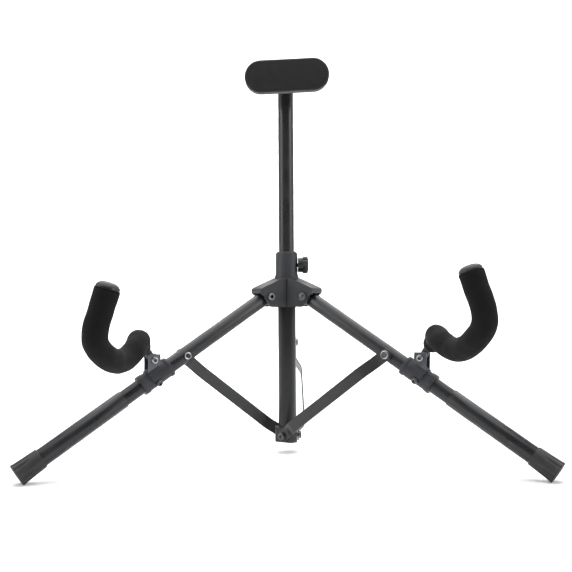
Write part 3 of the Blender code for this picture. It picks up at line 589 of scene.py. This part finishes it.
# Legs: a tube pinned in the hub, a wider sleeve on its lower part, and a moulded rubber foot.
# Tube and sleeve have the powder coat of the mast.
LEG_AZIMUTH = {"left": 210.0, "right": 330.0, "rear": 90.0}
LEG_R = 8.0 * MM
LEG_INNER = 6.8 * MM
LEG_TOP = -3.6 * MM
SLEEVE_START = 189.4 * MM
SLEEVE_R = 8.9 * MM
SLEEVE_INNER = 8.24 * MM
SLEEVE_EDGE = 0.2 * MM
FOOT_START = 283.4 * MM
FOOT_FLOOR = 4.5 * MM
FIT_GAP = 0.3 * MM
TUBE_END = LEG_LENGTH - FOOT_FLOOR - FIT_GAP
FOOT_SOLE = [(0, -0.9), (6.8, -0.9), (7.4, 0), (10.4, 0), (11.1, -0.25), (11.3, -0.8), (11.3, -2.4),
             (11.1, -2.9)]
FOOT_SKIRT = 3.4 * MM
FOOT_TAPER = 0.95 * MM
FOOT_TAPER_END = 3.0 * MM
FOOT_STEPS = 14
FOOT_RIM = [(10.0, 1.0), (9.9, 0.3), (9.6, 0), (9.2, 0.2)]
FOOT_INNER = 9.2 * MM
FOOT_SIDES = 144
FOOT_FLUTES = 12
FOOT_OUTSIDE = 10.0 * MM
FOOT_FLUTED_FROM = 9.0 * MM
FOOT_FLUTES_FULL = 5.0 * MM
foot_black = finish_material("foot_black", (0.0070, 0.0070, 0.0080), 0.58, grain=700.0, depth=0.5,
                             reach=0.00008, mottle=0.35, spread=0.12)


def outward(side):
    return STAND @ Matrix.Rotation(math.radians(LEG_AZIMUTH[side]), 4, "Z")


def leg_pivot(side):
    """Local X runs down the leg from its bolt, and local Y is level."""
    return (outward(side) @ Matrix.Translation((HUB_BOLT_OUT, 0, HUB_BOLT_Z))
            @ Matrix.Rotation(LEG_SLOPE, 4, "Y"))


ALONG_X = Matrix.Rotation(math.pi / 2, 4, "Y")
ALONG_Y = Matrix.Rotation(-math.pi / 2, 4, "X")


def foot_flutes(angle, height, radius):
    """Shallow channels on the lower half of the foot's outside."""
    share = min(max((height - FOOT_START - FOOT_FLUTED_FROM) / FOOT_FLUTES_FULL, 0.0), 1.0)
    return share * flute(angle, FOOT_FLUTES, 3) if radius >= FOOT_OUTSIDE else 0.0


def flat_on_floor(bm):
    for vert in bm.verts:
        vert.co.z = max(vert.co.z, 0.0)


for side in LEG_AZIMUTH:
    body = "leg_body_" + side
    place = leg_pivot(side) @ ALONG_X
    bm = bmesh.new()
    turn_profile(bm, tube_ends(LEG_R, LEG_INNER, LEG_TOP, TUBE_END), place, closed=True)
    piece_from("leg_upper_" + side, bm, powder_coat, body, ["leg_tube_" + side])
    bm = bmesh.new()
    turn_profile(bm, tube_ends(SLEEVE_R, SLEEVE_INNER, SLEEVE_START, TUBE_END, SLEEVE_EDGE), place,
                 closed=True)
    piece_from("leg_lower_" + side, bm, powder_coat, body, ["leg_sleeve_" + side])
    profile = in_mm(FOOT_SOLE, LEG_LENGTH)
    for i in range(FOOT_STEPS + 1):
        share = i / FOOT_STEPS
        up_by = share * (LEG_LENGTH - FOOT_START - FOOT_SKIRT - FOOT_TAPER_END)
        profile.append((FOOT_R - FOOT_TAPER * share, LEG_LENGTH - FOOT_SKIRT - up_by))
    profile += in_mm(FOOT_RIM, FOOT_START)
    profile += [(FOOT_INNER, LEG_LENGTH - FOOT_FLOOR), (0, LEG_LENGTH - FOOT_FLOOR)]
    bm = bmesh.new()
    turn_profile(bm, profile, place, FOOT_SIDES, swell=foot_flutes)
    flat_on_floor(bm)
    piece_from("rubber_foot_" + side, bm, foot_black, body, ["foot_" + side])


# Struts and their rivets: flat bar with round ends, cranked past the leg and painted as the tubes.
# Each turns on a plated rivet, whose thin bright ring on the head is a painted highlight; the leg carries
# the rivet's ring on its other side, with a painted highlight ring of its own.
strut_coat = finish_material("strut_coat", (0.0095, 0.0098, 0.0113), 0.38, depth=0.35)
STRUT_BOLT_AT = 112.4 * MM
STRUT_HIGH_OFFSET = 10.0 * MM
STRUT_THICK = 1.6 * MM
STRUT_EDGE = 0.35 * MM
LEG_SEAT = LEG_R + FIT_GAP
STRUT_SEAT = STRUT_HIGH_OFFSET + STRUT_THICK / 2 + FIT_GAP
RIVET_RING = [(1.9, 0), (2.6, 0.3), (2.7, 1.1), (3.6, 1.1), (3.8, 0.8), (3.8, 0), (2.2, 0)]
# The second and fourth outlines are thin rings of bright plate: painted highlights on the rivet's ring and
# head.
RIVET_RING_HIGHLIGHT = [(2.7, 1.0), (2.8, 1.35), (3.15, 1.5), (3.5, 1.35), (3.6, 1.0)]
RIVET_HEAD = [(0, 1.2), (2.6, 1.2), (3.2, 2.0), (4.0, 2.0), (4.6, 1.6), (5.0, 0.9), (5.0, 0), (2.0, 0)]
RIVET_HEAD_HIGHLIGHT = [(3.2, 1.9), (3.3, 2.25), (3.6, 2.4), (3.9, 2.25), (4.0, 1.9)]


def lone_fastener(name, fastener, place, body, node, plating):
    """One fastener, made with the ring tree as a ring of one that stands on the axis."""
    upright = place @ Matrix.Rotation(math.pi / 2, 4, "X")
    nodes = [node] if node else []
    ring_of_fasteners(name, fastener, 1, 0.0, 0.0, 0.0, upright, body, nodes, plating)


for side in LEG_AZIMUTH:
    leg_body, strut_body = "leg_body_" + side, "strut_body_" + side
    rivet_at = leg_pivot(side) @ Matrix.Translation((STRUT_BOLT_AT, 0, 0))
    leg_side = rivet_at @ ALONG_Y
    strut_side = rivet_at @ Matrix.Rotation(math.pi, 4, "X") @ ALONG_Y
    rounded_copy("strut_bar_" + side, "strut_" + side, strut_coat, strut_body, STRUT_EDGE)
    rivet = fastener_mesh("ring_rivet", in_mm([(0, 3.6), (1.8, 3.6)]) + in_mm(RIVET_RING, LEG_SEAT)
                          + in_mm([(2.2, 3.0), (0, 3.0)]), 0.0)
    lone_fastener("leg_rivet_" + side, rivet, leg_side, leg_body, "leg_rivet_" + side, dark_plate)
    # A thin ring of bright plate on the leg rivet's ring: a painted highlight.
    highlight_ring = fastener_mesh("leg_rivet_rim", in_mm(RIVET_RING_HIGHLIGHT, LEG_SEAT), 0.0, closed=True)
    lone_fastener("leg_rivet_rim_" + side, highlight_ring, leg_side, leg_body, None, rivet_highlight_and_screw_plate)
    head = fastener_mesh("strut_rivet_head", in_mm(RIVET_HEAD, STRUT_SEAT)
                         + in_mm([(2.0, 0), (0, 0)], LEG_SEAT), 0.0)
    lone_fastener("strut_rivet_head_" + side, head, strut_side, strut_body, "strut_rivet_" + side,
                  dark_plate)
    # A thin ring of bright plate on the strut rivet's head: a painted highlight.
    highlight_ring = fastener_mesh("strut_rivet_rim", in_mm(RIVET_HEAD_HIGHLIGHT, STRUT_SEAT), 0.0, closed=True)
    lone_fastener("strut_rivet_rim_" + side, highlight_ring, strut_side, strut_body, None, rivet_highlight_and_screw_plate)


# Arm clamps on the front legs: a moulded collar, a steel saddle with two zinc-plated ears, the screw
# that pinches the collar low on its front side, and the pin that the arm turns on. The saddle's band
# round the collar is coated in the same dark nylon.
zinc_plate = finish_material("zinc_plate", (0.085, 0.090, 0.105), 0.36, metallic=0.75, grain=1600.0,
                             depth=0.15, mottle=0.14, mottle_scale=90.0)
CLAMP_START = 132.4 * MM
CLAMP_END = 168.4 * MM
CLAMP_SCREW_AT = 152.3 * MM
ARM_PIN_AT = 143.8 * MM
ARM_PIN_UP = 15.8 * MM
PIN_SEAT = 7.05 * MM
EAR_EDGE = 0.3 * MM
SADDLE_REACH = 11.3 * MM
SCREW_LEAN = math.radians(60.0)
SCREW_KEY = 1.5 * MM
SCREW_SHANK = 1.8 * MM
SCREW_SEAT = 10.8 * MM
COLLAR_UPPER = [(9.9, 0), (10.35, -0.2), (10.5, -0.7), (10.5, -5.6), (10.3, -6.3), (9.8, -7.0)]
COLLAR_LOWER = [(9.8, 4.2), (10.4, 3.6), (10.5, 3.2), (10.5, 0.6), (10.3, 0.15), (9.9, 0)]
PIN_END = [(1.8, 0), (3.5, 0), (3.5, -1.0), (2.6, -1.8), (0, -2.0)]
COLLAR_TURN = {"left": 0.0, "right": math.radians(-5.14)}
FACING = {"left": 1.0, "right": -1.0}


def collar_turn(side):
    """The leg's own place, turned about the leg by as much as the collar is."""
    return leg_pivot(side) @ Matrix.Rotation(COLLAR_TURN[side], 4, "X")


def arm_turn(side):
    """Origin at the arm's pin, local Y along the pin and local Z up."""
    return (collar_turn(side) @ Matrix.Translation((ARM_PIN_AT, 0, ARM_PIN_UP))
            @ Matrix.Rotation(-LEG_SLOPE, 4, "Y"))


for side in FACING:
    body = "leg_body_" + side
    place = leg_pivot(side) @ ALONG_X
    bm = bmesh.new()
    turn_profile(bm, in_mm(COLLAR_UPPER, CLAMP_END) + in_mm(COLLAR_LOWER, CLAMP_START)
                 + [(LEG_SEAT, CLAMP_START), (LEG_SEAT, CLAMP_END)], place, closed=True)
    piece_from("arm_clamp_collar_" + side, bm, cast_grey, body, ["clamp_collar_" + side])
    ears = rounded_copy("arm_clamp_ears_" + side, "clamp_ear_" + side, zinc_plate, body,
                        EAR_EDGE)
    ears.data.materials.append(cast_grey)
    down_leg = leg_pivot(side).inverted()
    for face in ears.data.polygons:
        spot = down_leg @ face.center
        if math.hypot(spot.y, spot.z) < SADDLE_REACH:
            face.material_index = 1

    screw_place = (collar_turn(side) @ Matrix.Translation((CLAMP_SCREW_AT, 0, 0))
                   @ Matrix.Rotation(math.pi + SCREW_LEAN * FACING[side], 4, "X"))
    screw = fastener_mesh("pinch_screw", button_head(
        SCREW_SEAT, radius=3.4 * MM, height=2.6 * MM, socket=SCREW_KEY)
        + [(SCREW_SHANK, SCREW_SEAT), (SCREW_SHANK, LEG_SEAT), (0, LEG_SEAT)], SCREW_KEY)
    lone_fastener("arm_clamp_screw_" + side, screw, screw_place, body, "clamp_screw_" + side, dark_plate)

    pin = fastener_mesh("ear_pin", button_head(
        PIN_SEAT, radius=3.5 * MM, height=1.9 * MM, socket=PIN_KEY, deep=2.4)
        + [(SCREW_SHANK, PIN_SEAT)] + in_mm(PIN_END, -PIN_SEAT), PIN_KEY)
    near = ALONG_Y if FACING[side] > 0 else Matrix.Rotation(math.pi / 2, 4, "X")
    lone_fastener("arm_pivot_pin_" + side, pin, arm_turn(side) @ near, body, "arm_pin_" + side, pin_plate_and_bolt_highlight)


# Cradle arms: a bent steel rod in a sleeve of closed-cell foam. The sleeve is a little uneven, as
# such foam is, and drawn in to a dark ring at the bracket. A cap closes the rod's tip.
ARM_LINE = ((1.5, 0.6, 2.8), (5.1, 3.2, 9.3), (11.3, 15, 18), (6, 40.1, 21.5), (5.7, 63.7, 15.1),
            (11, 84.5, 8), (15.1, 106.1, 8.7), (18.5, 128, 15.5), (22.4, 143.3, 26.6),
            (20.8, 149.6, 40.1), (16.1, 148.1, 56.9), (10.9, 148.1, 73.6))
ARM_SWING = math.radians(30.0)
ARM_TILT = {"left": 0.0, "right": math.radians(2.62)}
ROD_R = 4.0 * MM
ROD_FLAT = 4.95 * MM
ROD_FLAT_REACH = 9.4 * MM
ROD_FROM = 0.4 * MM
ROD_SHORT = 0.1 * MM
FOAM_R = 11.0 * MM
FOAM_END_R = 6.8 * MM
FOAM_TAPER = 11.0 * MM
FOAM_FROM = 10.4 * MM
FOAM_SHORT = 1.25 * MM
FOAM_LIP = 0.5 * MM
FOAM_LIP_LONG = 1.5 * MM
FOAM_MOUTH = [(0.6, 4.5), (0.2, 5.4)]
FOAM_TIP = [(-0.35, 10.65), (0, 9.8), (0, 7.0), (-0.2, 4.7)]
FOAM_SIDES = 64
FOAM_RINGS = 110
FOAM_WANDER = 0.45 * MM
FOAM_LUMPS = 90.0
FOAM_SHARP = 60.0
SEED_STEP = 7.0
LINE_STEPS = 12
ROD_RINGS = 96
ROD_SIDES = 40
BARREL = [(3.3, 4.95), (3.6, 4.6), (3.6, -4.6), (3.3, -4.95), (2.2, -4.95), (2.2, 4.95)]
BARREL_SIDES = 48
SLEEVE_RING = [(-1.7, 4.1), (-1.7, 5.2), (-1.3, 5.8), (-0.4, 5.8), (-0.1, 5.2), (-0.1, 4.1)]
END_CAP = [(0, 4.5), (2.4, 4.4), (5.0, 4.1), (7.2, 3.4), (8.9, 2.3), (10.0, 1.0), (10.5, -0.2),
           (10.5, -0.8), (10.1, -1.2), (4.4, -1.2), (4.3, 0.3), (0, 0.3)]
END_CAP_SIDES = 64


def foam_finish(name, colour, shine, mottle, sheen=0.0):
    """Closed-cell foam is dull, and its pores break up every highlight."""
    return finish_material(name, colour, 0.90, shine=shine, sheen=sheen, grain=1900.0, depth=0.85,
                           reach=0.00025, mottle=mottle, mottle_scale=120.0, spread=0.05)


foam_black = foam_finish("foam_black", (0.0030, 0.0030, 0.0033), 0.18, 0.35)


def smooth_line(points):
    """The points joined by a curve that passes through each of them."""
    line = []
    for i in range(len(points) - 1):
        before, a = points[max(i - 1, 0)], points[i]
        b, after = points[i + 1], points[min(i + 2, len(points) - 1)]
        for k in range(LINE_STEPS):
            t = k / LINE_STEPS
            line.append(0.5 * ((2 * a) + (b - before) * t + (2 * before - 5 * a + 4 * b - after) * t ** 2
                               + (3 * a - before - 3 * b + after) * t ** 3))
    line.append(points[-1])
    return line


def ease(value, start, end):
    """From 0 at the start to 1 at the end, without a corner at either."""
    t = min(max((value - start) / (end - start), 0.0), 1.0)
    return t * t * (3.0 - 2.0 * t)


ARM_PATH = smooth_line([Vector(point) * MM for point in ARM_LINE])
ARM_RUN = [0.0]
for a, b in zip(ARM_PATH, ARM_PATH[1:]):
    ARM_RUN.append(ARM_RUN[-1] + (b - a).length)
ARM_LENGTH = ARM_RUN[-1]
ARM_WAY = []
ARM_ACROSS = []
for i in range(len(ARM_PATH)):
    way = (ARM_PATH[min(i + 1, len(ARM_PATH) - 1)] - ARM_PATH[max(i - 1, 0)]).normalized()
    before = ARM_ACROSS[-1] if ARM_ACROSS else Vector((1.0, 0.0, 0.0))
    ARM_WAY.append(way)
    ARM_ACROSS.append((before - way * before.dot(way)).normalized())


def line_at(distance):
    """Point on the arm's line, its direction there, and a crosswise direction that never twists."""
    i = 0
    while i < len(ARM_PATH) - 2 and distance > ARM_RUN[i + 1]:
        i += 1
    share = (distance - ARM_RUN[i]) / (ARM_RUN[i + 1] - ARM_RUN[i])
    way = ARM_WAY[i].lerp(ARM_WAY[i + 1], share).normalized()
    across = ARM_ACROSS[i].lerp(ARM_ACROSS[i + 1], share)
    across = (across - way * across.dot(way)).normalized()
    return ARM_PATH[i].lerp(ARM_PATH[i + 1], share), way, across


def sweep(bm, stations, place, sides, closed=False, wander=0.0, seed=0.0):
    """Rings of (distance, radius) along the arm's line, joined in turn and perhaps back to the first."""
    rings = []
    for distance, radius in stations:
        at, way, across = line_at(distance)
        level = way.cross(across)
        ring = []
        for i in range(sides):
            angle = math.tau * i / sides
            around = across * math.cos(angle) + level * math.sin(angle)
            point = at + around * radius
            if wander:
                point += around * wander * noise.noise(point * FOAM_LUMPS + Vector((seed, 0, 0)))
            ring.append(bm.verts.new(place @ point))
        rings.append(ring)
    join_rings(bm, rings, closed)
    return rings


def evenly(first, last, steps):
    """Distances from the first to the last, both included."""
    return [first + (last - first) * i / steps for i in range(steps + 1)]


def stations_from(start, outline):
    """Points drawn in millimetres, as (distance, radius), with distances counted from the start."""
    return [(start + distance * MM, radius * MM) for distance, radius in outline]


def foam_stations():
    """From inside the bore at the bracket, out over the sleeve and back into the bore at the tip."""
    bore = ROD_R + FIT_GAP
    top = ARM_LENGTH - FOAM_SHORT
    stations = stations_from(FOAM_FROM, FOAM_MOUTH)
    for distance in evenly(FOAM_FROM + 0.4 * MM, top - 1.0 * MM, FOAM_RINGS):
        share = ease(distance, FOAM_FROM - 5.0 * MM, FOAM_FROM + FOAM_TAPER)
        radius = FOAM_END_R + (FOAM_R - FOAM_END_R) * share
        drawn_in = FOAM_LIP * (1.0 - ease(distance, FOAM_FROM, FOAM_FROM + FOAM_LIP_LONG))
        stations.append((distance, radius - drawn_in))
    stations += stations_from(top, FOAM_TIP)
    stations += [(distance, bore) for distance in evenly(top - 3.0 * MM, FOAM_FROM + 3.0 * MM, FOAM_RINGS)]
    return stations


for number, side in enumerate(FACING):
    body = "arm_body_" + side
    hinge = arm_turn(side) @ Matrix.Rotation(-ARM_TILT[side], 4, "Y")
    place = (hinge @ Matrix.Rotation(-ARM_SWING * FACING[side], 4, "Z")
             @ Matrix.Diagonal((1.0, FACING[side], 1.0, 1.0)))
    bm = bmesh.new()
    stations = [(distance, ROD_R) for distance in evenly(ROD_FROM, ARM_LENGTH - ROD_SHORT, ROD_RINGS)]
    rings = sweep(bm, stations, place, ROD_SIDES)
    for ring in (rings[0], rings[-1]):
        bm.faces.new(ring)
    for vert in bm.verts:
        local = hinge.inverted() @ vert.co
        if math.hypot(local.x, local.z) < ROD_FLAT_REACH:
            local.y = FACING[side] * min(FACING[side] * local.y, ROD_FLAT)
            vert.co = hinge @ local
    turn_profile(bm, in_mm(BARREL), hinge @ ALONG_Y, BARREL_SIDES, closed=True)
    piece_from("arm_steel_" + side, bm, powder_coat, body, ["arm_rod_" + side])

    bm = bmesh.new()
    sweep(bm, foam_stations(), place, FOAM_SIDES, closed=True, wander=FOAM_WANDER, seed=SEED_STEP * number)
    sleeve = piece_from("arm_foam_sleeve_" + side, bm, foam_black, body, ["arm_foam_" + side],
                        FOAM_SHARP)

    bm = bmesh.new()
    sweep(bm, stations_from(FOAM_FROM, SLEEVE_RING), place, BARREL_SIDES, closed=True)
    piece_from("arm_sleeve_ring_" + side, bm, moulded_black, body, [])

    tip, way = ARM_PATH[-1], (ARM_PATH[-1] - ARM_PATH[-2]).normalized()
    cap_place = place @ Matrix.Translation(tip) @ way.to_track_quat("Z", "Y").to_matrix().to_4x4()
    bm = bmesh.new()
    turn_profile(bm, in_mm(END_CAP), cap_place, END_CAP_SIDES)
    piece_from("arm_end_cap_" + side, bm, knob_black, body, ["arm_cap_" + side])


# Back pad: a thick block of the same foam, softly crowned, glued to a moulded plate. A saddle and one
# screw hold the plate to the mast, so the pad can swivel; it sits a little high on its right.
PAD_Z = 409.6 * MM
PAD_SHIFT = 1.8 * MM
PAD_SPAN = (91.5 - 35.2) * MM
PAD_HALF = 17.6 * MM
PAD_BACK_Y = -10.3 * MM
PLATE_THICK = 3.0 * MM
PAD_THICK = 13.5 * MM
PAD_LEAN = math.radians(2.5)
PAD_AXIS = STAND @ Matrix.Translation((0, 0, PAD_Z - 2.0 * MM))
PAD_PLACE = PAD_AXIS @ Matrix.Rotation(-PAD_LEAN, 4, "Y") @ Matrix.Translation((PAD_SHIFT, 0, 2.0 * MM))
PLATE = [(0, 0), (9.36, 0), (14.7, 0), (15.4, -0.25), (15.6, -0.8), (15.6, -2.8), (15.4, -3.0),
         (9.36, -3.0), (0, -3.0)]
PAD_EDGE = 0.4 * MM
PAD_HEM = 1.0 * MM
PAD_ROUND = 3.4 * MM
PAD_CROWN = 0.8 * MM
PAD_WAIST = 0.25 * MM
PAD_WANDER = 0.16 * MM
PAD_EVEN_UNTIL = 0.5 * MM
PAD_UNEVEN_FROM = 3.0 * MM
PAD_LUMPS = 70.0
SIDE_STEPS = 5
ROUND_STEPS = 7
CROWN_STEPS = 12
ARC_STEPS = 28
EDGE_STEPS = 10
POLE_WITHIN = 0.01 * MM
SADDLE_EDGE = 0.3 * MM
pad_black = foam_finish("pad_black", (0.0085, 0.0085, 0.0090), 0.25, 0.30, sheen=0.15)


def stadium_loop(half, y):
    """Points round a long round-ended outline, with its straight sides divided too."""
    points = []
    for end in (1.0, -1.0):
        for i in range(ARC_STEPS + 1):
            angle = -math.pi / 2 + math.pi * i / ARC_STEPS + (0.0 if end > 0 else math.pi)
            points.append(Vector((end * PAD_SPAN / 2 + half * math.cos(angle), y, half * math.sin(angle))))
        for i in range(1, EDGE_STEPS):
            x = end * PAD_SPAN * (0.5 - i / EDGE_STEPS)
            points.append(Vector((x, y, end * half)))
    return points


def loft(bm, loops, place):
    """Joins one outline to the next, and draws together what has shrunk to a line."""
    join_rings(bm, [[bm.verts.new(place @ p) for p in loop] for loop in loops])
    bmesh.ops.remove_doubles(bm, verts=bm.verts, dist=POLE_WITHIN)


pad_back = PAD_BACK_Y - PLATE_THICK - FIT_GAP
pad_front = pad_back - PAD_THICK
loops = [stadium_loop(PAD_HALF * share, pad_back) for share in (0.0, 0.35, 0.7, 0.93)]
loops.append(stadium_loop(PAD_HALF - PAD_EDGE, pad_back))
loops.append(stadium_loop(PAD_HALF - PAD_EDGE / 4, pad_back - PAD_EDGE))
for i in range(SIDE_STEPS + 1):
    share = i / SIDE_STEPS
    side_y = pad_back - PAD_HEM - share * (PAD_THICK - PAD_HEM - PAD_ROUND - PAD_CROWN)
    loops.append(stadium_loop(PAD_HALF - PAD_WAIST * math.sin(math.pi * share), side_y))
for i in range(1, ROUND_STEPS + 1):
    angle = math.pi / 2 * i / ROUND_STEPS
    loops.append(stadium_loop(PAD_HALF - PAD_ROUND * (1 - math.cos(angle)),
                              pad_front + PAD_CROWN + PAD_ROUND * (1 - math.sin(angle))))
for i in range(1, CROWN_STEPS + 1):
    share = i / CROWN_STEPS
    loops.append(stadium_loop((PAD_HALF - PAD_ROUND) * (1 - share),
                              pad_front + PAD_CROWN * (1 - math.sin(math.pi / 2 * share))))
bm = bmesh.new()
loft(bm, loops, PAD_PLACE)
for vert in bm.verts:
    depth = ease(COLUMN_Y + pad_back - vert.co.y, PAD_EVEN_UNTIL, PAD_UNEVEN_FROM)
    vert.co.y += PAD_WANDER * depth * noise.noise(vert.co * PAD_LUMPS)
pad = piece_from("back_pad_foam", bm, pad_black, "pad_body", ["pad_foam"], FOAM_SHARP)

bm = bmesh.new()
loft(bm, [stadium_loop(half, y) for half, y in in_mm(PLATE, PAD_BACK_Y)], PAD_PLACE)
piece_from("back_pad_plate", bm, moulded_black, "pad_body", ["pad_plate"])
rounded_copy("back_pad_saddle", "pad_saddle", moulded_black, "mast_body", SADDLE_EDGE)
PAD_SCREW_SEAT = MAST_R + FIT_GAP
PAD_SCREW_TIP = -9.4 * MM
pad_screw = fastener_mesh("pad_bolt", button_head(
    PAD_SCREW_SEAT, radius=4.2 * MM, height=2.2 * MM, socket=PIN_KEY)
    + [(PIN_SHANK, PAD_SCREW_SEAT), (PIN_SHANK, PAD_SCREW_TIP), (0, PAD_SCREW_TIP)], PIN_KEY)
lone_fastener("back_pad_screw", pad_screw, PAD_AXIS @ ALONG_Y, "mast_body", "pad_screw", dark_plate)
